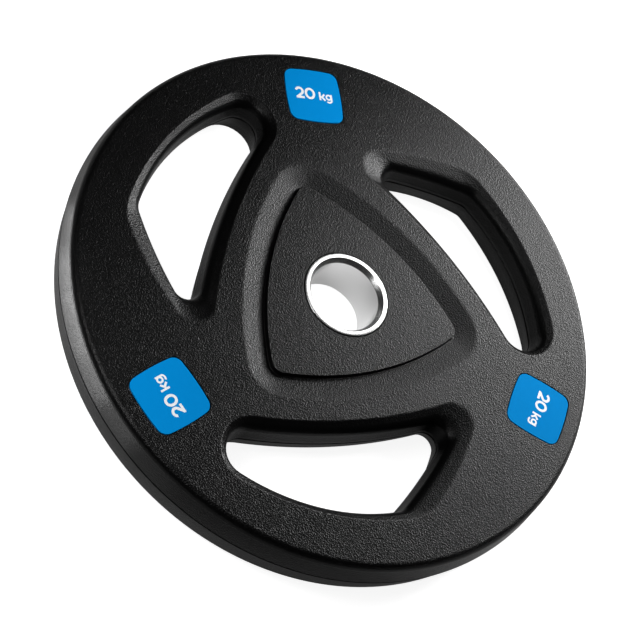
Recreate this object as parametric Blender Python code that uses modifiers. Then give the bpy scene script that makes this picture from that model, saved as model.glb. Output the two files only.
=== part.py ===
"""Rubber coated tri-grip weight plate: an iron core in a moulded coat, on a steel bore sleeve.

Metres, +Z up. The plate lies on its back: the bore runs along +Z and the back face is at Z = 0.
"""

import math

import bmesh
import bpy
from mathutils import Matrix, Vector

# Overall sizes. The rim is widest at its parting line, half way up.
PLATE_RADIUS = 0.198
PLATE_THICKNESS = 0.040
RIM_DRAFT = 0.0025
RIM_FRONT_ROUND = 0.0052
RIM_BACK_ROUND = 0.0030

# Steel sleeve. Its bore takes the 50 mm end of a bar. Each end has a wide lead-in and, outside it,
# a flat land between two rounds, which together make up the sleeve's wall.
BORE_RADIUS = 0.0256
LEAD_IN_WIDTH = 0.0023
LEAD_IN_DEPTH = 0.0027
SLEEVE_LAND = 0.0024
SLEEVE_ROUND = 0.0005
SLEEVE_PROUD = 0.0006
SLEEVE_MOUTH_RADIUS = BORE_RADIUS + LEAD_IN_WIDTH
SLEEVE_RADIUS = SLEEVE_MOUTH_RADIUS + SLEEVE_LAND + 2 * SLEEVE_ROUND

# Rubber over the core: on the two faces, round the rim and round each grip.
FRONT_SKIN = 0.0054
BACK_SKIN = 0.0036
RIM_SKIN = 0.0055
GRIP_SKIN = 0.0048
CORE_CHAMFER = 0.0030
COAT_BORE_CHAMFER = 0.0007

# Clearances between neighbouring pieces.
SLEEVE_GAP = 0.0003
CORE_GAP = 0.0003
LABEL_GAP = 0.0004

# The three grips stand a third of a turn apart. Each outline has three round corners, given as
# (x, y, radius), and three bulged sides: outer, top and hub. The hub side bulges into the grip.
GRIP_COUNT = 3
HUB_SIDE_RADIUS = 0.395
LIP_HEEL = (0.1420, -0.0150, 0.0243)
LIP_SHOULDER = (0.0995, 0.0785, 0.0368)
LIP_NARROW_END = (0.0445, 0.1055, 0.0148)
LIP_OUTER_RADIUS = 0.200
LIP_TOP_RADIUS = 0.221
LIP_HUB_RADIUS = 0.370
WAIST_HEEL = (0.1420, -0.0170, 0.0145)
WAIST_SHOULDER = (0.1160, 0.0820, 0.0110)
WAIST_NARROW_END = (0.0625, 0.0960, 0.0100)
WAIST_OUTER_RADIUS = 0.154
WAIST_TOP_RADIUS = 0.350
REAR_HEEL = (0.1420, -0.0140, 0.0205)
REAR_SHOULDER = (0.1230, 0.0865, 0.0090)
REAR_NARROW_END = (0.0535, 0.0995, 0.0095)
REAR_OUTER_RADIUS = 0.200
REAR_TOP_RADIUS = 0.140

# Section through a grip's wall: a lip, a steep wall down to the waist at the parting line, then a
# wall that opens again to a small round at the back face. The lip is LIP_DEPTH deep and takes
# LIP_REACH of the way to the waist. It turns off the face over a small edge, runs on as an even
# flank and rounds over into the wall. Its edge and slope are shares of its reach and depth.
LIP_DEPTH = 0.0100
LIP_REACH = 0.88
LIP_EDGE = 0.09
LIP_SLOPE = 0.52
REAR_ROUND = 0.0025

# Hub: a rounded triangle flush with the face, in a shallow dish that slopes down towards it.
HUB_TURN = math.radians(-16.5)
HUB_FLAT = 0.0575
HUB_BULGE_RADIUS = 0.210
HUB_CORNER_ROUND = 0.0080
DISH_WIDTH = 0.0175
DISH_DEPTH = 0.0036
DISH_STEP_DRAFT = 0.0006

# Label inlays: squares with bulged sides, one over each spoke, flush in shallow pockets.
LABEL_COUNT = 3
LABEL_FROM_RIM = 0.0385
LABEL_CENTRE_RADIUS = PLATE_RADIUS - LABEL_FROM_RIM
LABEL_HALF_WIDTH = 0.0220
LABEL_CORNER_ROUND = 0.0070
LABEL_BULGE_RADIUS = 0.160
LABEL_THICKNESS = 0.0012
LABEL_EDGE_ROUND = 0.0002

# Facets.
TURN_STEPS = 96
SLEEVE_STEPS = 60
RIM_ROUND_STEPS = 3
SLEEVE_ROUND_STEPS = 2
GRIP_LIP_STEPS = 3
GRIP_REAR_STEPS = 2
CORE_LIP_STEPS = 1
CORE_REAR_STEPS = 1
SIDE_POINTS = 7
CORNER_POINTS = 6
LABEL_SIDE_POINTS = 3
LABEL_CORNER_POINTS = 4
CUT_CLEAR = 0.0020
SHARP_ANGLE = math.radians(32)

COLLECTION = "weight_plate"
CUTTERS = "cutters"
COLORS = {
    "rubber": ((0.020, 0.020, 0.021, 1.0), 0.55, 0.0),
    "iron": ((0.090, 0.088, 0.085, 1.0), 0.65, 0.9),
    "steel": ((0.620, 0.620, 0.610, 1.0), 0.28, 1.0),
    "label": ((0.000, 0.230, 0.630, 1.0), 0.40, 0.0),
}


def clear_scene():
    for thing in list(bpy.data.objects):
        bpy.data.objects.remove(thing, do_unlink=True)


def collection(name):
    group = bpy.data.collections.new(name)
    bpy.context.scene.collection.children.link(group)
    return group


def material(name):
    color, roughness, metallic = COLORS[name]
    made = bpy.data.materials.new(name)
    made.use_nodes = True
    shader = made.node_tree.nodes["Principled BSDF"]
    shader.inputs["Base Color"].default_value = color
    shader.inputs["Roughness"].default_value = roughness
    shader.inputs["Metallic"].default_value = metallic
    made.diffuse_color = color
    return made


def place(name, mesh, group):
    thing = bpy.data.objects.new(name, mesh)
    bpy.data.collections[group].objects.link(thing)
    if group == CUTTERS:
        thing.hide_render = True
        thing.display_type = "WIRE"
    return thing


def place_around(name, mesh, count, group):
    """Objects that share a mesh, spaced evenly round the bore."""
    things = [place(f"{name}_{i + 1}", mesh, group) for i in range(count)]
    for i, thing in enumerate(things):
        thing.rotation_euler.z = math.tau * i / count
    return things


def finish(mesh, finish_name):
    """Give a piece's mesh its material and smooth its round faces."""
    mesh.materials.append(material(finish_name))
    mesh.shade_smooth()
    mesh.set_sharp_from_angle(angle=SHARP_ANGLE)


def arc(centre, radius, start, end, points):
    """Points of an arc, both ends included. Angles are in radians."""
    turn = (end - start) / points
    return [
        (centre[0] + radius * math.cos(start + turn * i), centre[1] + radius * math.sin(start + turn * i))
        for i in range(points + 1)
    ]


def turned(name, profile, steps, group):
    """Solid of revolution about Z from a closed (radius, z) profile that runs down its outer side."""
    mesh = bpy.data.meshes.new(name)
    count = len(profile)
    edges = [(i, (i + 1) % count) for i in range(count)]
    mesh.from_pydata([(r, 0.0, z) for r, z in profile], edges, [])
    thing = place(name, mesh, group)
    turn = thing.modifiers.new("turn", "SCREW")
    turn.axis = "Z"
    turn.steps = steps
    turn.render_steps = steps
    turn.use_merge_vertices = True
    turn.merge_threshold = 0.00001
    return thing


def side_arc(start, end, radius):
    """Centre of the arc of this radius that touches two corner circles, and its end points."""
    first = Vector(start[:2])
    last = Vector(end[:2])
    chord = last - first
    reach_first = abs(radius - start[2])
    reach_last = abs(radius - end[2])
    along = (reach_first**2 - reach_last**2 + chord.length_squared) / (2 * chord.length)
    off = math.copysign(math.sqrt(reach_first**2 - along**2), radius)
    ahead = chord.normalized()
    centre = first + ahead * along + Vector((-ahead.y, ahead.x)) * off
    touch_first = centre + (first - centre).normalized() * abs(radius)
    touch_last = centre + (last - centre).normalized() * abs(radius)
    return centre, touch_first, touch_last


def sweep(centre, start, end, points, counterclockwise=False):
    """Points from start towards end round a centre, without the last one."""
    first = start - centre
    last = end - centre
    angle = math.atan2(first.x * last.y - first.y * last.x, first.dot(last))
    if counterclockwise:
        angle %= math.tau
    return [centre + Matrix.Rotation(angle * i / points, 2) @ first for i in range(points)]


def outline(corners, sides, grow=0.0, side_points=SIDE_POINTS, corner_points=CORNER_POINTS):
    """Round corners joined by bulged sides, counterclockwise, moved outwards by grow.

    Side i runs from corner i to the next. A negative side radius bulges inwards.
    """
    corners = [(x, y, radius + grow) for x, y, radius in corners]
    count = len(corners)
    arcs = [side_arc(corners[i], corners[(i + 1) % count], sides[i] + grow) for i in range(count)]
    points = []
    for i in range(count):
        centre, touch_first, touch_last = arcs[i]
        following = arcs[(i + 1) % count]
        corner = Vector(corners[(i + 1) % count][:2])
        points += sweep(centre, touch_first, touch_last, side_points)
        points += sweep(corner, touch_last, following[1], corner_points, counterclockwise=True)
    return points


def blend(first, last, share):
    return [a.lerp(b, share) for a, b in zip(first, last)]


def loft(name, sections, ring=False):
    """Skin through (outline, z) sections from the top down, capped, or closed on itself as a ring."""
    shape = bmesh.new()
    rows = [[shape.verts.new((p.x, p.y, z)) for p in points] for points, z in sections]
    count = len(rows[0])
    pairs = list(zip(rows, rows[1:] + rows[:1])) if ring else list(zip(rows, rows[1:]))
    for upper, lower in pairs:
        for i in range(count):
            j = (i + 1) % count
            shape.faces.new((upper[i], lower[i], lower[j]))
            shape.faces.new((upper[i], lower[j], upper[j]))
    if not ring:
        shape.faces.new(rows[0])
        shape.faces.new(reversed(rows[-1]))
    bmesh.ops.recalc_face_normals(shape, faces=shape.faces)
    mesh = bpy.data.meshes.new(name)
    shape.to_mesh(mesh)
    shape.free()
    return mesh


def slab(name, points, bottom, top):
    """Flat plate with this outline, as a mesh from a filled 2D curve."""
    curve = bpy.data.curves.new(name, "CURVE")
    curve.dimensions = "2D"
    curve.fill_mode = "BOTH"
    curve.extrude = (top - bottom) / 2
    line = curve.splines.new("POLY")
    line.points.add(len(points) - 1)
    for spot, point in zip(line.points, points):
        spot.co = (point.x, point.y, 0.0, 1.0)
    line.use_cyclic_u = True
    sketch = bpy.data.objects.new(name + "_sketch", curve)
    bpy.context.scene.collection.objects.link(sketch)
    bpy.context.view_layer.update()
    mesh = bpy.data.meshes.new_from_object(sketch.evaluated_get(bpy.context.evaluated_depsgraph_get()))
    bpy.data.objects.remove(sketch, do_unlink=True)
    shape = bmesh.new()
    shape.from_mesh(mesh)
    bmesh.ops.remove_doubles(shape, verts=shape.verts, dist=0.000001)
    bmesh.ops.translate(shape, verts=shape.verts, vec=(0.0, 0.0, (top + bottom) / 2))
    bmesh.ops.recalc_face_normals(shape, faces=shape.faces)
    shape.to_mesh(mesh)
    shape.free()
    return mesh


def cut(thing, cutters):
    for cutter in cutters:
        step = thing.modifiers.new(cutter.name, "BOOLEAN")
        step.operation = "DIFFERENCE"
        step.object = cutter


def lip_section(steps):
    """Section of a lip from the face to the wall, as shares of its reach and depth."""
    tilt = math.atan(LIP_SLOPE)
    radius = (1 - LIP_SLOPE * (1 - LIP_EDGE)) / (math.cos(tilt) - LIP_SLOPE * (1 - math.sin(tilt)))
    edge = [(0.0, 0.0), (2 * LIP_EDGE, LIP_SLOPE * LIP_EDGE)]
    return edge + arc((1 - radius, 1.0), radius, tilt - math.pi / 2, 0.0, steps)


def grip_sections(grow, lip_steps, rear_steps):
    """Outlines of a grip from above the front face to below the back face, moved outwards by grow."""
    lip_corners = (LIP_HEEL, LIP_SHOULDER, LIP_NARROW_END)
    lip = outline(lip_corners, (LIP_OUTER_RADIUS, LIP_TOP_RADIUS, -LIP_HUB_RADIUS), grow)
    waist_corners = (WAIST_HEEL, WAIST_SHOULDER, WAIST_NARROW_END)
    waist = outline(waist_corners, (WAIST_OUTER_RADIUS, WAIST_TOP_RADIUS, -HUB_SIDE_RADIUS), grow)
    rear_corners = (REAR_HEEL, REAR_SHOULDER, REAR_NARROW_END)
    rear_sides = (REAR_OUTER_RADIUS, REAR_TOP_RADIUS, -HUB_SIDE_RADIUS)
    sections = [(lip, PLATE_THICKNESS + CUT_CLEAR)]
    for across, down in lip_section(lip_steps):
        sections.append((blend(lip, waist, LIP_REACH * across), PLATE_THICKNESS - LIP_DEPTH * down))
    sections.append((waist, PLATE_THICKNESS / 2))
    for across, rise in arc((0.0, 0.0), REAR_ROUND, 0.0, -math.pi / 2, rear_steps):
        widened = outline(rear_corners, rear_sides, grow + REAR_ROUND - across)
        sections.append((widened, REAR_ROUND + rise))
    sections.append((widened, -CUT_CLEAR))
    return sections


def grip_cutters(name, grow, lip_steps, rear_steps):
    mesh = loft(name, grip_sections(grow, lip_steps, rear_steps))
    return place_around(name, mesh, GRIP_COUNT, CUTTERS)


def bulged_polygon(count, flat, bulge_radius, corner_round, turn):
    """Round corners of an even polygon whose sides bulge out to the distance flat from its middle.

    The first corner lies at the angle turn.
    """
    behind = bulge_radius - flat
    step = math.pi / count
    reach = math.sqrt((bulge_radius - corner_round) ** 2 - (behind * math.sin(step)) ** 2)
    reach -= behind * math.cos(step)
    angles = [turn + 2 * step * i for i in range(count)]
    return [(reach * math.cos(angle), reach * math.sin(angle), corner_round) for angle in angles]


def hub_outline(grow):
    corners = bulged_polygon(GRIP_COUNT, HUB_FLAT, HUB_BULGE_RADIUS, HUB_CORNER_ROUND, HUB_TURN)
    return outline(corners, [HUB_BULGE_RADIUS] * GRIP_COUNT, grow)


def dish_cutter():
    """Triangular moat: a slope down from the face, then a steep step up to the hub."""
    outer = hub_outline(DISH_WIDTH)
    foot = hub_outline(DISH_STEP_DRAFT)
    edge = hub_outline(0.0)
    front = PLATE_THICKNESS
    over = front + CUT_CLEAR
    sections = [(outer, over), (outer, front), (foot, front - DISH_DEPTH), (edge, front), (edge, over)]
    return place("dish_cutter", loft("dish_cutter", sections, ring=True), CUTTERS)


def label_outline(grow):
    """Square with bulged sides over the spoke at +Y."""
    square = bulged_polygon(4, LABEL_HALF_WIDTH, LABEL_BULGE_RADIUS, LABEL_CORNER_ROUND, math.pi / 4)
    corners = [(x, y + LABEL_CENTRE_RADIUS, radius) for x, y, radius in square]
    sides = [LABEL_BULGE_RADIUS] * len(corners)
    return outline(corners, sides, grow, LABEL_SIDE_POINTS, LABEL_CORNER_POINTS)


def core_profile(grow, bore_radius):
    """Chamfered ring under the rubber's skins, moved outwards by grow."""
    radius = PLATE_RADIUS - RIM_DRAFT - RIM_SKIN + grow
    top = PLATE_THICKNESS - FRONT_SKIN + grow
    bottom = BACK_SKIN - grow
    return [
        (bore_radius, top),
        (radius - CORE_CHAMFER, top),
        (radius, top - CORE_CHAMFER),
        (radius, bottom + CORE_CHAMFER),
        (radius - CORE_CHAMFER, bottom),
        (bore_radius, bottom),
    ]


def rim_profile():
    """Coat's section: front shoulder, drafted wall to the parting line and back to a small shoulder."""
    seat = SLEEVE_RADIUS + SLEEVE_GAP
    wall = PLATE_RADIUS - RIM_DRAFT
    front = PLATE_THICKNESS
    front_centre = (wall - RIM_FRONT_ROUND, front - RIM_FRONT_ROUND)
    back_centre = (wall - RIM_BACK_ROUND, RIM_BACK_ROUND)
    profile = [(seat, front - COAT_BORE_CHAMFER), (seat + COAT_BORE_CHAMFER, front)]
    profile += arc(front_centre, RIM_FRONT_ROUND, math.pi / 2, 0.0, RIM_ROUND_STEPS)
    profile.append((PLATE_RADIUS, front / 2))
    profile += arc(back_centre, RIM_BACK_ROUND, 0.0, -math.pi / 2, RIM_ROUND_STEPS)
    profile += [(seat + COAT_BORE_CHAMFER, 0.0), (seat, COAT_BORE_CHAMFER)]
    return profile


def iron_core():
    core = turned("iron_core", core_profile(0.0, SLEEVE_RADIUS + SLEEVE_GAP), TURN_STEPS, COLLECTION)
    cut(core, grip_cutters("core_grip", GRIP_SKIN, CORE_LIP_STEPS, CORE_REAR_STEPS))
    finish(core.data, "iron")


def core_cavity():
    """Room for the core inside the coat. It opens into the bore, where the sleeve closes it."""
    cavity = turned("core_cavity", core_profile(CORE_GAP, SLEEVE_RADIUS - CUT_CLEAR), TURN_STEPS, CUTTERS)
    cut(cavity, grip_cutters("cavity_grip", GRIP_SKIN - CORE_GAP, CORE_LIP_STEPS, CORE_REAR_STEPS))
    return cavity


def label_pockets():
    floor = PLATE_THICKNESS - LABEL_THICKNESS - LABEL_GAP
    mesh = slab("label_pocket", label_outline(LABEL_GAP), floor, PLATE_THICKNESS + CUT_CLEAR)
    return place_around("label_pocket", mesh, LABEL_COUNT, CUTTERS)


def rubber_coat():
    coat = turned("rubber_coat", rim_profile(), TURN_STEPS, COLLECTION)
    cut(coat, [core_cavity()])
    cut(coat, grip_cutters("coat_grip", 0.0, GRIP_LIP_STEPS, GRIP_REAR_STEPS))
    cut(coat, [dish_cutter()])
    cut(coat, label_pockets())
    finish(coat.data, "rubber")


def sleeve_end(z, outwards):
    """One end of the sleeve's section, from its outer side to its bore. outwards is 1 or -1."""
    quarter = outwards * math.pi / 2
    below = z - outwards * SLEEVE_ROUND
    outer = (SLEEVE_RADIUS - SLEEVE_ROUND, below)
    inner = (SLEEVE_MOUTH_RADIUS + SLEEVE_ROUND, below)
    points = arc(outer, SLEEVE_ROUND, 0.0, quarter, SLEEVE_ROUND_STEPS)
    points += arc(inner, SLEEVE_ROUND, quarter, 2 * quarter, SLEEVE_ROUND_STEPS)
    points.append((BORE_RADIUS, below - outwards * LEAD_IN_DEPTH))
    return points


def bore_sleeve():
    front = sleeve_end(PLATE_THICKNESS + SLEEVE_PROUD, 1)
    back = sleeve_end(0.0, -1)
    sleeve = turned("bore_sleeve", list(reversed(front)) + back, SLEEVE_STEPS, COLLECTION)
    finish(sleeve.data, "steel")


def label_inlays():
    mesh = slab("label_inlay", label_outline(0.0), PLATE_THICKNESS - LABEL_THICKNESS, PLATE_THICKNESS)
    finish(mesh, "label")
    for label in place_around("label_inlay", mesh, LABEL_COUNT, COLLECTION):
        edge = label.modifiers.new("edge", "BEVEL")
        edge.width = LABEL_EDGE_ROUND
        edge.segments = 1
        edge.limit_method = "ANGLE"


def main():
    clear_scene()
    collection(COLLECTION)
    collection(CUTTERS)
    iron_core()
    rubber_coat()
    bore_sleeve()
    label_inlays()


main()
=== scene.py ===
import math

import bmesh
import bpy
from mathutils import Matrix, Vector


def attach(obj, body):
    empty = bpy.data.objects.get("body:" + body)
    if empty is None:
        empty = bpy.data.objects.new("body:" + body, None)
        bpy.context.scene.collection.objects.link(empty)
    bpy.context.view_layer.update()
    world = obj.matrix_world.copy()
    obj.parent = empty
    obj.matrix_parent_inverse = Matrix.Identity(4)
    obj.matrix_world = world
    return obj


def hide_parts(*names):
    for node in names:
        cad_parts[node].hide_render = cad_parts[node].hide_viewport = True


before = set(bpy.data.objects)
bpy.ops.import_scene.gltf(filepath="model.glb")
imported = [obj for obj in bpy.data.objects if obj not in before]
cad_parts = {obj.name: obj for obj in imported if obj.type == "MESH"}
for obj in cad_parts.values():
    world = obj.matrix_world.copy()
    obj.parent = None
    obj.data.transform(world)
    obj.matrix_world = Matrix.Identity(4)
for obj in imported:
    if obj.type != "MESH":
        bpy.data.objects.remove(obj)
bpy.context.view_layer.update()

# Camera: a long lens looking down on the plate from its left, rolled so that the plate seems to
# stand on its lower edge.
eye = bpy.data.objects.new("camera", bpy.data.cameras.new("camera"))
eye.data.lens = 94.38
eye.data.sensor_width = 36.0
eye.location = (-0.52185, -0.47001, 0.95007)
eye.rotation_euler = (math.radians(27.471), math.radians(-24.884), math.radians(-8.974))
bpy.context.scene.collection.objects.link(eye)
bpy.context.scene.camera = eye


# Rubber coat: one black moulding, pressed hot round the iron core. Leather grain covers it, more
# faintly on the back half and on the steep rounds, and a fine flash line runs round where the two
# mould halves met.
PLATE_RADIUS = 0.198
PLATE_THICKNESS = 0.040
RIM_DRAFT = 0.0025
FRONT_ROUND = 0.0052
BACK_ROUND = 0.0030
FLASH_WIDTH = 0.0016
FLASH_DEPTH = 0.0015
CREST_INSET = 0.0001  # keeps the rim's widest line inside the solid's
COAT_BORE = 0.0316
COAT_BORE_ROUND = 0.0007
ROUND_MIDDLE = 0.3  # how far in from its corner the middle of a small round lies
COAT_STEPS = 240
SAME_SPOT = 0.000001


def arc(centre, radius, start, end, steps):
    """Points of an arc from one angle to another, in degrees."""
    points = []
    for i in range(steps + 1):
        turn = math.radians(start + (end - start) * i / steps)
        points.append((centre[0] + radius * math.cos(turn), centre[1] + radius * math.sin(turn)))
    return points


def turned(name, profile, steps):
    """Solid of revolution from a closed (radius, height) profile."""
    shape = bmesh.new()
    spots = [shape.verts.new((r, 0.0, z)) for r, z in profile]
    edges = [shape.edges.new((spots[i - 1], spots[i])) for i in range(len(spots))]
    bmesh.ops.spin(
        shape, geom=spots + edges, cent=(0, 0, 0), axis=(0, 0, 1), dvec=(0, 0, 0),
        angle=math.tau, steps=steps, use_merge=True,
    )
    bmesh.ops.remove_doubles(shape, verts=shape.verts, dist=SAME_SPOT)
    bmesh.ops.recalc_face_normals(shape, faces=shape.faces)
    return placed(name, shape)


def placed(name, shape):
    """An object at the origin with this shape as its mesh."""
    mesh = bpy.data.meshes.new(name)
    shape.to_mesh(mesh)
    shape.free()
    thing = bpy.data.objects.new(name, mesh)
    bpy.context.scene.collection.objects.link(thing)
    return thing


wall = PLATE_RADIUS - RIM_DRAFT
middle = PLATE_THICKNESS / 2
crest = PLATE_RADIUS - CREST_INSET
groove = PLATE_RADIUS - FLASH_DEPTH
bend = COAT_BORE_ROUND * ROUND_MIDDLE
rim = [(COAT_BORE, PLATE_THICKNESS - COAT_BORE_ROUND)]
rim += [(COAT_BORE + bend, PLATE_THICKNESS - bend)]
rim += [(COAT_BORE + COAT_BORE_ROUND, PLATE_THICKNESS)]
rim += arc((wall - FRONT_ROUND, PLATE_THICKNESS - FRONT_ROUND), FRONT_ROUND, 90, 0, 12)
rim += [(crest, middle + FLASH_WIDTH / 2), (groove, middle + FLASH_WIDTH / 4)]
rim += [(groove, middle - FLASH_WIDTH / 4), (crest, middle - FLASH_WIDTH / 2)]
rim += arc((wall - BACK_ROUND, BACK_ROUND), BACK_ROUND, 0, -90, 8)
rim += [(COAT_BORE + COAT_BORE_ROUND, 0.0), (COAT_BORE, COAT_BORE_ROUND)]
coat = turned("coat", rim, COAT_STEPS)

# The grips: three openings a third of a turn apart. Each outline has three round corners, given as
# (x, y, radius), and three curved sides, given by their radius, below zero where a side is hollow.
# An edge, an even flank and a round lead in to a steep wall, which opens behind the flash line.
HUB_SIDE_RADIUS = -0.395
LIP = [(0.1420, -0.0150, 0.0243), (0.0995, 0.0785, 0.0368), (0.0445, 0.1055, 0.0148)]
LIP_SIDES = [0.200, 0.221, -0.370]
WAIST = [(0.1420, -0.0170, 0.0145), (0.1160, 0.0820, 0.0110), (0.0625, 0.0960, 0.0100)]
WAIST_SIDES = [0.154, 0.350, HUB_SIDE_RADIUS]
REAR = [(0.1420, -0.0140, 0.0205), (0.1230, 0.0865, 0.0090), (0.0535, 0.0995, 0.0095)]
REAR_SIDES = [0.200, 0.140, HUB_SIDE_RADIUS]
LIP_DEPTH = 0.0100
LIP_REACH = 0.88  # share of the way in to the waist
LIP_EDGE = 0.09  # share of that reach at the middle of the edge
LIP_SLOPE = 0.52  # the flank's fall, as a share of the depth, over the whole reach
REAR_START = 0.01  # how far the wall has opened just behind the flash line
REAR_ROUND = 0.0025
OVER = 0.002  # how far a cutter stands past the face


def side_arc(start, end, radius):
    """Centre of the arc that touches two corner circles, and its two end points."""
    first, last = Vector(start[:2]), Vector(end[:2])
    chord = last - first
    reach_first, reach_last = abs(radius - start[2]), abs(radius - end[2])
    along = (reach_first**2 - reach_last**2 + chord.length_squared) / (2 * chord.length)
    off = math.copysign(math.sqrt(reach_first**2 - along**2), radius)
    ahead = chord.normalized()
    centre = first + ahead * along + Vector((-ahead.y, ahead.x)) * off
    touches = [centre + (spot - centre).normalized() * abs(radius) for spot in (first, last)]
    return centre, touches[0], touches[1]


def sweep(centre, start, end, steps, counterclockwise=False):
    """Points from start towards end round a centre, without the last one."""
    first, last = start - centre, end - centre
    angle = math.atan2(first.x * last.y - first.y * last.x, first.dot(last))
    if counterclockwise:
        angle %= math.tau
    return [centre + Matrix.Rotation(angle * i / steps, 2) @ first for i in range(steps)]


def outline(corners, sides, grow=0.0, side_steps=26, corner_steps=16):
    """Round corners joined by curved sides, counterclockwise, moved outwards by grow."""
    corners = [(x, y, radius + grow) for x, y, radius in corners]
    count = len(corners)
    arcs = [side_arc(corners[i], corners[(i + 1) % count], sides[i] + grow) for i in range(count)]
    points = []
    for i in range(count):
        centre, first, last = arcs[i]
        corner = Vector(corners[(i + 1) % count][:2])
        points += sweep(centre, first, last, side_steps)
        points += sweep(corner, last, arcs[(i + 1) % count][1], corner_steps, counterclockwise=True)
    return points


def blend(first, last, share):
    """The outline this share of the way from the first one to the last."""
    return [a.lerp(b, share) for a, b in zip(first, last)]


def lofted(name, sections, closed=False):
    """Skin through outlines at their heights, capped, or closed on itself as a ring."""
    shape = bmesh.new()
    rings = []
    for points, z in sections:
        spots = [shape.verts.new((p.x, p.y, z)) for p in points]
        rings.append([shape.edges.new((spots[i - 1], spots[i])) for i in range(len(spots))])
    for upper, lower in zip(rings, rings[1:]):
        bmesh.ops.bridge_loops(shape, edges=upper + lower)
    if closed:
        bmesh.ops.bridge_loops(shape, edges=rings[-1] + rings[0])
    else:
        bmesh.ops.contextual_create(shape, geom=rings[0])
        bmesh.ops.contextual_create(shape, geom=rings[-1])
    bmesh.ops.recalc_face_normals(shape, faces=shape.faces)
    return placed(name, shape)


def around(thing, count):
    """The thing and its copies, spaced evenly round the bore and numbered after it."""
    ring = [thing]
    stem = thing.name.removesuffix("_1")
    for i in range(1, count):
        mesh = thing.data.copy()
        mesh.transform(Matrix.Rotation(math.tau * i / count, 4, "Z"))
        copy = bpy.data.objects.new(f"{stem}_{i + 1}", mesh)
        bpy.context.scene.collection.objects.link(copy)
        ring.append(copy)
    return ring


def carve(thing, cutters):
    """Cut these shapes out of the thing, and take them away."""
    for cutter in cutters:
        step = thing.modifiers.new(cutter.name, "BOOLEAN")
        step.operation = "DIFFERENCE"
        step.solver = "EXACT"
        step.object = cutter
    shaped = thing.evaluated_get(bpy.context.evaluated_depsgraph_get())
    mesh = bpy.data.meshes.new_from_object(shaped)
    thing.modifiers.clear()
    thing.data = mesh
    for cutter in cutters:
        bpy.data.objects.remove(cutter, do_unlink=True)


lip = outline(LIP, LIP_SIDES)
waist = outline(WAIST, WAIST_SIDES)
grip = [(lip, PLATE_THICKNESS + OVER)]
# the lip's section, in shares of its reach and its depth
lip_tilt = math.atan(LIP_SLOPE)
below_flank = 1 - LIP_SLOPE * (1 - LIP_EDGE)
lip_round = below_flank / (math.cos(lip_tilt) - LIP_SLOPE * (1 - math.sin(lip_tilt)))
lip_section = [(LIP_EDGE * i / 2, LIP_SLOPE * LIP_EDGE * (i / 4) ** 2) for i in range(5)]
lip_section += arc((1 - lip_round, 1.0), lip_round, math.degrees(lip_tilt) - 90, 0, 12)
for across, down in lip_section:
    grip.append((blend(lip, waist, LIP_REACH * across), PLATE_THICKNESS - LIP_DEPTH * down))
for share in (0.33, 0.66):
    z = PLATE_THICKNESS - LIP_DEPTH + share * (middle + LIP_DEPTH - PLATE_THICKNESS)
    grip.append((blend(lip, waist, LIP_REACH + (1 - LIP_REACH) * share), z))
grip.append((waist, middle + FLASH_WIDTH / 2))
flash = outline(WAIST, WAIST_SIDES, FLASH_DEPTH)
grip.append((flash, middle + FLASH_WIDTH / 4))
grip.append((flash, middle - FLASH_WIDTH / 4))
rear = outline(REAR, REAR_SIDES)
grip.append((blend(waist, rear, REAR_START), middle - FLASH_WIDTH / 2))
grip.append((blend(waist, rear, 0.5), (middle + REAR_ROUND) / 2))
for across, rise in arc((0, 0), REAR_ROUND, 0, -90, 6):
    grip.append((outline(REAR, REAR_SIDES, REAR_ROUND - across), REAR_ROUND + rise))
grip.append((grip[-1][0], -OVER))
grip_cutters = around(lofted("grip_cutter", grip), 3)

# The hub is a rounded triangle, flush with the face, in a shallow dish that slopes down to it and
# ends in a small steep step with a fillet at its foot.
HUB_TURN = math.radians(-16.5)
HUB_FLAT = 0.0575
HUB_BULGE = 0.210
HUB_CORNER = 0.0080
DISH_WIDTH = 0.0175
DISH_DEPTH = 0.0036
DISH_SOFT = 0.0014
STEP_DRAFT = 0.0006
STEP_TOP = 0.4  # share of the draft that is left at the step's top edge
STEP_FOOT = 0.0012
STEP_LEAN = 0.1  # how far the step's face leans in over its height
HUB_EDGE = 0.0003


def polygon(count, flat, bulge, corner, turn):
    """Round corners of an even polygon whose bulged sides pass its middle at the distance flat."""
    behind = bulge - flat
    step = math.pi / count
    reach = math.sqrt((bulge - corner) ** 2 - (behind * math.sin(step)) ** 2)
    reach -= behind * math.cos(step)
    turns = [turn + 2 * step * i for i in range(count)]
    return [(reach * math.cos(a), reach * math.sin(a), corner) for a in turns]


hub = polygon(3, HUB_FLAT, HUB_BULGE, HUB_CORNER, HUB_TURN)
slope = DISH_DEPTH / DISH_WIDTH
dish = [(DISH_WIDTH + DISH_SOFT, -OVER)]
# the face eases in to the slope
for i in range(9):
    dish.append((DISH_WIDTH + DISH_SOFT * (1 - i / 4), slope * DISH_SOFT * (i / 4) ** 2 / 4))
dish += [(DISH_WIDTH * share, DISH_DEPTH * (1 - share)) for share in (0.6, 0.35)]
# the slope meets the step in a fillet
foot = Vector((STEP_DRAFT, DISH_DEPTH - slope * STEP_DRAFT))
outside = foot + Vector((STEP_FOOT, -slope * STEP_FOOT))
inside = foot + Vector((-STEP_FOOT * STEP_LEAN, -STEP_FOOT))
for i in range(7):
    dish.append(tuple(outside.lerp(foot, i / 6).lerp(foot.lerp(inside, i / 6), i / 6)))
dish += [(STEP_DRAFT * STEP_TOP, HUB_EDGE), (-HUB_EDGE * ROUND_MIDDLE, HUB_EDGE * ROUND_MIDDLE)]
dish += [(-HUB_EDGE, 0.0), (-HUB_EDGE, -OVER)]
rows = []
for grow, depth in dish:
    rows.append((outline(hub, [HUB_BULGE] * 3, grow, 40, 20), PLATE_THICKNESS - depth))
dish_cutter = lofted("dish_cutter", rows, closed=True)

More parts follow.
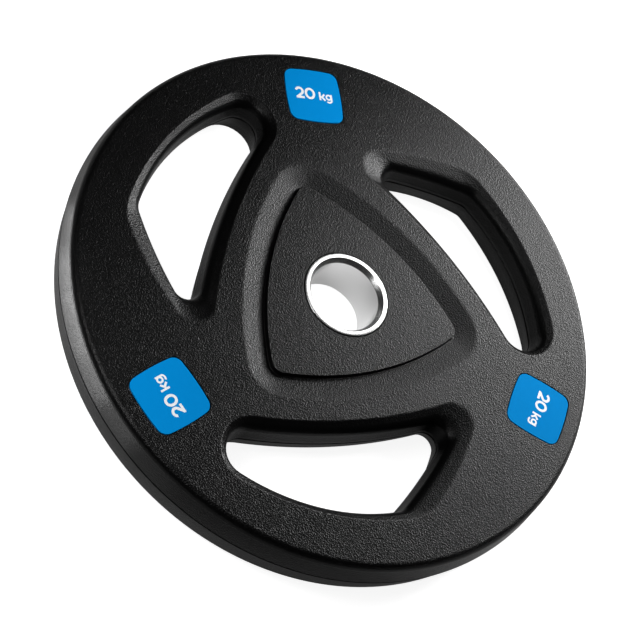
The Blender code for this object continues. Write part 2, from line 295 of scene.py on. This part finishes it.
# Shallow pockets for the label inlays.
LABEL_RADIUS = 0.1595
LABEL_HALF = 0.0220
LABEL_CORNER = 0.0070
LABEL_BULGE = 0.160
LABEL_THICKNESS = 0.0012
LABEL_GAP = 0.0004
POCKET_EDGE = 0.0002

label_corners = polygon(4, LABEL_HALF, LABEL_BULGE, LABEL_CORNER, math.pi / 4)
label_corners = [(x, y + LABEL_RADIUS, r) for x, y, r in label_corners]


def label_outline(grow):
    """The inlays' outline at the first label, moved outwards by grow."""
    return outline(label_corners, [LABEL_BULGE] * 4, grow, 10, 10)


pocket = [(POCKET_EDGE, -OVER), (POCKET_EDGE, 0.0), (0.0, POCKET_EDGE)]
pocket += [(0.0, LABEL_THICKNESS + LABEL_GAP)]
rows = [(label_outline(LABEL_GAP + grow), PLATE_THICKNESS - depth) for grow, depth in pocket]
pocket_cutters = around(lofted("pocket_cutter", rows), 3)

# Room inside the coat for the iron core.
CORE_CLEARANCE = 0.0003
CORE_SAME_SPOT = 0.000005

core = bmesh.new()
core.from_mesh(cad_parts["iron_core"].data)
bmesh.ops.remove_doubles(core, verts=core.verts, dist=CORE_SAME_SPOT)
bmesh.ops.recalc_face_normals(core, faces=core.faces)
for spot in core.verts:
    spot.co += spot.normal * CORE_CLEARANCE
core_cutter = placed("core_cutter", core)

carve(coat, [core_cutter] + grip_cutters + [dish_cutter] + pocket_cutters)


def smooth(thing, angle):
    """Smooth shading with sharp edges past an angle, and flats kept flat up to their rounds."""
    thing.data.shade_smooth()
    thing.data.set_sharp_from_angle(angle=math.radians(angle))
    flat = thing.modifiers.new("flats", "WEIGHTED_NORMAL")
    flat.keep_sharp = True
    flat.weight = 50


smooth(coat, 35)

PEBBLES = 1150.0
CREASES = 1500.0
CREASE_SHARE = 0.6
GRAIN_STRENGTH = 0.9
GRAIN_DEPTH = 0.00028
BACK_GRAIN = 0.6
ROUND_GRAIN = 0.4
HALF_EDGE = 0.0002


def material(name):
    """A new material with its nodes, its links and its shader."""
    made = bpy.data.materials.new(name)
    made.use_nodes = True
    tree = made.node_tree
    return made, tree.nodes, tree.links, tree.nodes["Principled BSDF"]


def noise(scale, detail, roughness):
    """Noise over the object's own coordinates."""
    made = nodes.new("ShaderNodeTexNoise")
    made.inputs["Scale"].default_value = scale
    made.inputs["Detail"].default_value = detail
    made.inputs["Roughness"].default_value = roughness
    links.new(where.outputs["Object"], made.inputs["Vector"])
    return made.outputs["Fac"]


def parted(vector):
    """The X, Y and Z of a vector, by name."""
    made = nodes.new("ShaderNodeSeparateXYZ")
    links.new(vector, made.inputs["Vector"])
    return made.outputs


def span(source, low, high, to_low, to_high):
    """The source's range from low to high, laid on another range."""
    made = nodes.new("ShaderNodeMapRange")
    made.inputs["From Min"].default_value = low
    made.inputs["From Max"].default_value = high
    made.inputs["To Min"].default_value = to_low
    made.inputs["To Max"].default_value = to_high
    links.new(source, made.inputs["Value"])
    return made.outputs["Result"]


def maths(operation, first, second):
    """Two values, or a value and a number, taken together."""
    made = nodes.new("ShaderNodeMath")
    made.operation = operation
    for socket, value in zip(made.inputs, (first, second)):
        if isinstance(value, (int, float)):
            socket.default_value = value
        else:
            links.new(value, socket)
    return made.outputs["Value"]


def raised(height, strength, distance):
    """Raise the surface by this height."""
    made = nodes.new("ShaderNodeBump")
    made.inputs["Strength"].default_value = strength
    made.inputs["Distance"].default_value = distance
    links.new(height, made.inputs["Height"])
    links.new(made.outputs["Normal"], shader.inputs["Normal"])


def coloured(share, first, second):
    """Let the colour vary from the first one to the second."""
    made = nodes.new("ShaderNodeMix")
    made.data_type = "RGBA"
    made.inputs["A"].default_value = (*first, 1.0)
    made.inputs["B"].default_value = (*second, 1.0)
    links.new(share, made.inputs["Factor"])
    links.new(made.outputs["Result"], shader.inputs["Base Color"])


rubber, nodes, links, shader = material("grained_rubber")
shader.inputs["Metallic"].default_value = 0.0
shader.inputs["Specular IOR Level"].default_value = 0.175
where = nodes.new("ShaderNodeTexCoord")

pebbles = nodes.new("ShaderNodeTexVoronoi")
pebbles.feature = "SMOOTH_F1"
pebbles.inputs["Scale"].default_value = PEBBLES
pebbles.inputs["Smoothness"].default_value = 0.6
links.new(where.outputs["Object"], pebbles.inputs["Vector"])
creases = noise(CREASES, 2.0, 0.6)
grain = maths("ADD", pebbles.outputs["Distance"], maths("MULTIPLY", creases, CREASE_SHARE))

# the back half's mould is etched more lightly, and the steep rounds are smoother: upright is 1 on
# the face and 0 on the walls
height = parted(where.outputs["Object"])["Z"]
etched = span(height, middle - HALF_EDGE, middle + HALF_EDGE, BACK_GRAIN, 1.0)
upright = parted(where.outputs["Normal"])["Z"]
steep = span(upright, 0.7, 0.85, 1.0, 0.0)
rounded = maths("MULTIPLY", steep, span(upright, 0.1, 0.25, 0.0, 1.0))
grain = maths("MULTIPLY", grain, etched)
grain = maths("MULTIPLY", grain, span(rounded, 0.0, 1.0, 1.0, ROUND_GRAIN))
raised(grain, GRAIN_STRENGTH, GRAIN_DEPTH)
mottle = noise(14.0, 4.0, 0.55)
links.new(span(mottle, 0.3, 0.7, 0.28, 0.32), shader.inputs["Roughness"])
coloured(creases, (0.0010, 0.0010, 0.0011), (0.0024, 0.0024, 0.0025))

coat.data.materials.clear()
coat.data.materials.append(rubber)
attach(coat, "root")
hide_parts("rubber_coat")


# Bore sleeve: a turned steel ring pressed through the hub. Each end has a narrow crowned land with
# small rounds, then a cone that leads in to the bore. Its tool marks run round it.
BORE = 0.0256
MOUTH = 0.0279
SLEEVE_RADIUS = 0.0313
LIP_ROUND = 0.0005
LIP_CROWN = 0.00005
PROUD = 0.0006
LEAD_IN = 0.0030
CONE_START = 0.0002
CONE_END = [(0.0003, 0.0001), (0.0001, 0.0004), (0.0, 0.0008)]  # (outwards, past the cone)
TOOL_MARKS = 9000.0
MARK_STRENGTH = 0.15
MARK_DEPTH = 0.0001
SLEEVE_STEPS = 160

section = []
for face, side in ((PLATE_THICKNESS + PROUD, 1), (0.0, -1)):
    low = face - side * (LIP_ROUND + LIP_CROWN)
    outer, inner = SLEEVE_RADIUS - LIP_ROUND, MOUTH + LIP_ROUND
    end = arc((outer, low), LIP_ROUND, 0, 80 * side, 6)
    for share in (0.2, 0.35, 0.5, 0.65, 0.8):
        fall = LIP_CROWN * (2 * share - 1) ** 2
        end.append((outer + (inner - outer) * share, face - side * fall))
    end += arc((inner, low), LIP_ROUND, 100 * side, 135 * side, 4)
    end.append((MOUTH - CONE_START, low))
    end += [(BORE + out, face - side * (LEAD_IN + past)) for out, past in CONE_END]
    section += end if side > 0 else end[::-1]
sleeve = turned("sleeve", section, SLEEVE_STEPS)
smooth(sleeve, 40)

steel, nodes, links, shader = material("satin_steel")
shader.inputs["Metallic"].default_value = 1.0
where = nodes.new("ShaderNodeTexCoord")

# noise over the radius and the height alone makes marks that run round the bore
place = parted(where.outputs["Object"])
flat_place = nodes.new("ShaderNodeCombineXYZ")
links.new(place["X"], flat_place.inputs["X"])
links.new(place["Y"], flat_place.inputs["Y"])
radius = nodes.new("ShaderNodeVectorMath")
radius.operation = "LENGTH"
links.new(flat_place.outputs["Vector"], radius.inputs[0])
tooling = nodes.new("ShaderNodeCombineXYZ")
links.new(maths("MULTIPLY", radius.outputs["Value"], TOOL_MARKS), tooling.inputs["X"])
links.new(maths("MULTIPLY", place["Z"], TOOL_MARKS), tooling.inputs["Z"])
marks = nodes.new("ShaderNodeTexNoise")
marks.inputs["Scale"].default_value = 1.0
marks.inputs["Detail"].default_value = 3.0
links.new(tooling.outputs["Vector"], marks.inputs["Vector"])
raised(marks.outputs["Fac"], MARK_STRENGTH, MARK_DEPTH)
smears = noise(60.0, 3.0, 0.5)
links.new(span(smears, 0.3, 0.7, 0.20, 0.27), shader.inputs["Roughness"])
coloured(marks.outputs["Fac"], (0.52, 0.52, 0.52), (0.64, 0.64, 0.64))

sleeve.data.materials.append(steel)
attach(sleeve, "root")
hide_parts("bore_sleeve")


# Iron core: a rough sand casting that carries the mass. The coat is moulded round it and the
# sleeve is pressed through it, so that the two hide it all over.
iron, nodes, links, shader = material("cast_iron")
shader.inputs["Metallic"].default_value = 0.9
shader.inputs["Roughness"].default_value = 0.62
where = nodes.new("ShaderNodeTexCoord")
sand = noise(500.0, 4.0, 0.6)
coloured(sand, (0.07, 0.068, 0.066), (0.13, 0.12, 0.11))
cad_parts["iron_core"].material_slots[0].material = iron


# Label inlays: satin blue plastic squares with bulged sides, glued into the pockets flush with the
# face, with their weight printed in white.
INLAY_EDGE = [(-0.0004, 0.0), (-0.0003, 0.00003), (-0.0002, 0.0002)]  # (growth, depth)
PRINT_HEIGHT = 0.00003

blue, nodes, links, shader = material("blue_inlay")
shader.inputs["Specular IOR Level"].default_value = 0.008
where = nodes.new("ShaderNodeTexCoord")
film = noise(260.0, 2.0, 0.5)
raised(film, 0.08, 0.0003)
links.new(span(film, 0.3, 0.7, 0.45, 0.55), shader.inputs["Roughness"])
coloured(film, (0.0003, 0.237, 0.620), (0.0006, 0.248, 0.650))

white, nodes, links, shader = material("white_print")
where = nodes.new("ShaderNodeTexCoord")
ink = noise(900.0, 2.0, 0.5)
links.new(span(ink, 0.3, 0.7, 0.45, 0.55), shader.inputs["Roughness"])
coloured(ink, (0.86, 0.87, 0.88), (0.90, 0.90, 0.91))

panel = INLAY_EDGE + [(INLAY_EDGE[-1][0], LABEL_THICKNESS)]
rows = [(label_outline(grow), PLATE_THICKNESS - depth) for grow, depth in panel]
inlays = around(lofted("inlay_1", rows), 3)
for i, inlay in enumerate(inlays):
    smooth(inlay, 40)
    inlay.data.materials.append(blue)
    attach(inlay, "root")
    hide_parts(f"label_inlay_{i + 1}")

# The weight in bold plain figures and letters. Each stroke is a flat ribbon, given in drawing units
# from the inlay's middle, and touching strokes are fused.
DRAWING_UNIT = 0.00096
FIGURE_STROKE = 1.95
STEM_STROKE = 1.5
FOOT_STROKE = 1.55
BOWL_STROKE = 1.4
LEAST_MITRE = 0.35


def stroke(line, width):
    """Outline of a flat ribbon along a line, with mitred corners."""
    line = [Vector(p) for p in line]
    left, right = [], []
    for i, p in enumerate(line):
        before = (p - line[i - 1]).normalized() if i else (line[1] - p).normalized()
        after = (line[i + 1] - p).normalized() if i + 1 < len(line) else before
        side = Vector((-before.y - after.y, before.x + after.x)).normalized()
        reach = width / 2 / max(LEAST_MITRE, side.dot(Vector((-after.y, after.x))))
        left.append(p + side * reach)
        right.append(p - side * reach)
    return left + right[::-1]


def oval(centre, across, tall, start, end, steps):
    """Part of an oval, from one angle to another."""
    unit = arc((0, 0), 1.0, start, end, steps)
    return [(centre[0] + across * x, centre[1] + tall * y) for x, y in unit]


def printed(name, points):
    """A thin raised print in this outline."""
    shape = bmesh.new()
    shape.faces.new([shape.verts.new((x * DRAWING_UNIT, y * DRAWING_UNIT, 0.0)) for x, y in points])
    made = bmesh.ops.extrude_face_region(shape, geom=shape.faces[:])["geom"]
    tops = [piece for piece in made if isinstance(piece, bmesh.types.BMVert)]
    bmesh.ops.translate(shape, verts=tops, vec=(0, 0, PRINT_HEIGHT))
    bmesh.ops.translate(shape, verts=shape.verts, vec=(0, LABEL_RADIUS, PLATE_THICKNESS))
    bmesh.ops.recalc_face_normals(shape, faces=shape.faces)
    return placed(name, shape)


def fused(first, others):
    """The first print with the others joined to it."""
    for other in others:
        step = first.modifiers.new(other.name, "BOOLEAN")
        step.operation = "UNION"
        step.solver = "EXACT"
        step.object = other
    shaped = first.evaluated_get(bpy.context.evaluated_depsgraph_get())
    first.data = bpy.data.meshes.new_from_object(shaped)
    first.modifiers.clear()
    for other in others:
        bpy.data.objects.remove(other, do_unlink=True)
    return first


def ringed(centre, across, tall, width):
    """A closed oval ribbon, as two halves that meet top and bottom."""
    halves = []
    for start in (90, -90):
        outer = oval(centre, across, tall, start, start + 180, 24)
        inner = oval(centre, across - width, tall - width, start + 180, start, 24)
        halves.append(outer + inner)
    return halves


two = oval((-11.7, 2.95), 2.72, 2.72, 165, -51, 22) + [(-13.75, -2.35)]
hook = [(14.6, 2.45), (14.6, -2.6)] + oval((12.4, -2.75), 2.2, 1.85, -8, -140, 16)
strokes = {
    "weight_print_1": stroke([(5.15, 4.0), (5.15, -3.25)], STEM_STROKE),
    "arm": stroke([(6.0, -1.0), (9.1, 2.1)], STEM_STROKE),
    "foot": stroke([(6.7, -0.1), (9.15, -3.25)], FOOT_STROKE),
    "two": stroke(two, FIGURE_STROKE),
    "base": stroke([(-14.65, -2.4), (-8.0, -2.4)], FIGURE_STROKE),
    "tail": stroke(hook, BOWL_STROKE),
}
rings = ringed((-3.1, 1.62), 4.3, 5.0, FIGURE_STROKE)
rings += ringed((12.4, -0.15), 2.6, 2.65, BOWL_STROKE)
for i, half in enumerate(rings):
    strokes[f"half_{i}"] = half
parts = [printed(name, points) for name, points in strokes.items()]
prints = around(fused(parts[0], parts[1:]), 3)
for number in prints:
    number.data.materials.append(white)
    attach(number, "root")


# Floor and light: a pale table that keeps the plate's shadow. Its glow as seen in reflections is
# partly painted: a painted highlight on the table inside the bore, brighter towards one side, and
# painted shadow that dims it under the plate and beside the rim. Soft boxes stand low behind the
# plate's right side, with two fills on its left, a light for the bore's ring, and a row of small
# lamps on the table that the rim's left wall reflects.
FLOOR_HALF = 12.0
FLOOR_DROP = 0.0002
NEAR_GLOW = 0.9  # the lamps' light makes up the rest of the table's white
SKY_LIGHT = 0.03
# the side of the bore towards which the painted highlight on the table grows brighter
PAINTED_HIGHLIGHT_SIDE = (0.65, -0.76, 0.0)

floor_shape = bmesh.new()
bmesh.ops.create_grid(floor_shape, x_segments=1, y_segments=1, size=FLOOR_HALF)
floor = placed("floor", floor_shape)
floor.data.transform(Matrix.Translation((0, 0, -FLOOR_DROP)))

paper, nodes, links, shader = material("pale_table")
shader.inputs["Base Color"].default_value = (0.72, 0.72, 0.72, 1.0)
shader.inputs["Roughness"].default_value = 0.9
shader.inputs["Specular IOR Level"].default_value = 0.0
shader.inputs["Emission Color"].default_value = (1.0, 1.0, 1.0, 1.0)
rays = nodes.new("ShaderNodeLightPath")
where = nodes.new("ShaderNodeTexCoord")
distance = nodes.new("ShaderNodeVectorMath")
distance.operation = "LENGTH"
links.new(where.outputs["Object"], distance.inputs[0])
away = distance.outputs["Value"]
toward_painted_highlight = nodes.new("ShaderNodeVectorMath")
toward_painted_highlight.operation = "DOT_PRODUCT"
toward_painted_highlight.inputs[1].default_value = PAINTED_HIGHLIGHT_SIDE
links.new(where.outputs["Object"], toward_painted_highlight.inputs[0])

# in reflections only, the table's glow is partly painted: a painted highlight inside the bore,
# brighter towards one side, and painted shadow that keeps it dim in the grips and beside the rim,
# with plain white far away
painted_bore_highlight = span(away, 0.04, 0.06, 1.0, 0.0)
painted_bore_highlight = maths("MULTIPLY", painted_bore_highlight, span(toward_painted_highlight.outputs["Value"], -0.012, 0.014, 0.5, 1.0))
# painted shadow: the table dimmed in reflections under the plate and beside the rim
painted_rim_shadow = span(away, 0.204, 0.214, 0.13, 0.02)
beyond = span(away, 0.5, 1.0, 0.0, 1.0)
white_and_painted_reflection = maths("MAXIMUM", painted_bore_highlight, maths("MAXIMUM", painted_rim_shadow, beyond))
white_and_painted_reflection = maths("MULTIPLY", rays.outputs["Is Glossy Ray"], white_and_painted_reflection)
direct = maths("MAXIMUM", rays.outputs["Is Camera Ray"], rays.outputs["Is Transmission Ray"])
glow = maths("MULTIPLY", maths("MAXIMUM", direct, white_and_painted_reflection), span(away, 0.6, 3.0, NEAR_GLOW, 1.0))
links.new(glow, shader.inputs["Emission Strength"])
floor.data.materials.append(paper)


def softbox(name, place, aim, size, strength):
    """A soft lamp facing aim. Its power follows its size, so that strength alone is brightness."""
    lamp = bpy.data.lights.new(name, "AREA")
    lamp.shape = "RECTANGLE"
    lamp.size, lamp.size_y = size
    lamp.energy = math.pi**2 * size[0] * size[1] * strength
    box = bpy.data.objects.new(name, lamp)
    box.location = place
    box.rotation_euler = (Vector(aim) - Vector(place)).to_track_quat("-Z", "Y").to_euler()
    box.visible_camera = False
    bpy.context.scene.collection.objects.link(box)
    return box


def above(height, azimuth, distance):
    """A place seen from the bore at this height and azimuth, in degrees."""
    height, azimuth = math.radians(height), math.radians(azimuth)
    flat = distance * math.cos(height)
    return (flat * math.cos(azimuth), flat * math.sin(azimuth), distance * math.sin(height))


bore = (0.0, 0.0, 0.0)
left_label = (-0.138, -0.08, PLATE_THICKNESS)
softbox("key", above(18, 25, 2.2), bore, (0.6, 0.6), 7.9)
softbox("middle_key", above(35, 15, 0.75), bore, (0.35, 0.35), 2.0)
softbox("near_key", above(28, 30, 0.45), bore, (0.2, 0.2), 2.0)
softbox("left_fill", above(60, 180, 0.75), bore, (0.35, 0.35), 0.6)
softbox("left_label_fill", above(37, 192, 0.38), left_label, (0.12, 0.12), 2.1)
softbox("ring_light", above(53.5, 42, 0.3), bore, (0.09, 0.09), 1.65)

# the lamps on the table face straight up: azimuth in degrees, length outwards, and strength
STRIP_START = 0.211
STRIP_WIDTH = 0.046
STRIP_HEIGHT = 0.4  # in degrees, seen from the bore
rim_strips = [
    (152, 0.060, 0.15), (163, 0.060, 1.10), (174, 0.060, 2.30), (185, 0.055, 2.50),
    (196, 0.045, 2.00), (207, 0.040, 0.65), (218, 0.040, 0.10),
]
for azimuth, length, strength in rim_strips:
    spot = above(STRIP_HEIGHT, azimuth, STRIP_START + length / 2)
    strip = softbox(f"rim_strip_{azimuth}", spot, bore, (length, STRIP_WIDTH), strength)
    strip.rotation_euler = (math.pi, 0.0, math.radians(azimuth))

world = bpy.data.worlds.new("studio")
world.use_nodes = True
nodes, links = world.node_tree.nodes, world.node_tree.links
rays = nodes.new("ShaderNodeLightPath")
sky = nodes["Background"]
sky.inputs["Color"].default_value = (1.0, 1.0, 1.0, 1.0)
links.new(span(rays.outputs["Is Camera Ray"], 0.0, 1.0, SKY_LIGHT, 1.0), sky.inputs["Strength"])
bpy.context.scene.world = world
bpy.context.scene.view_settings.view_transform = "Standard"
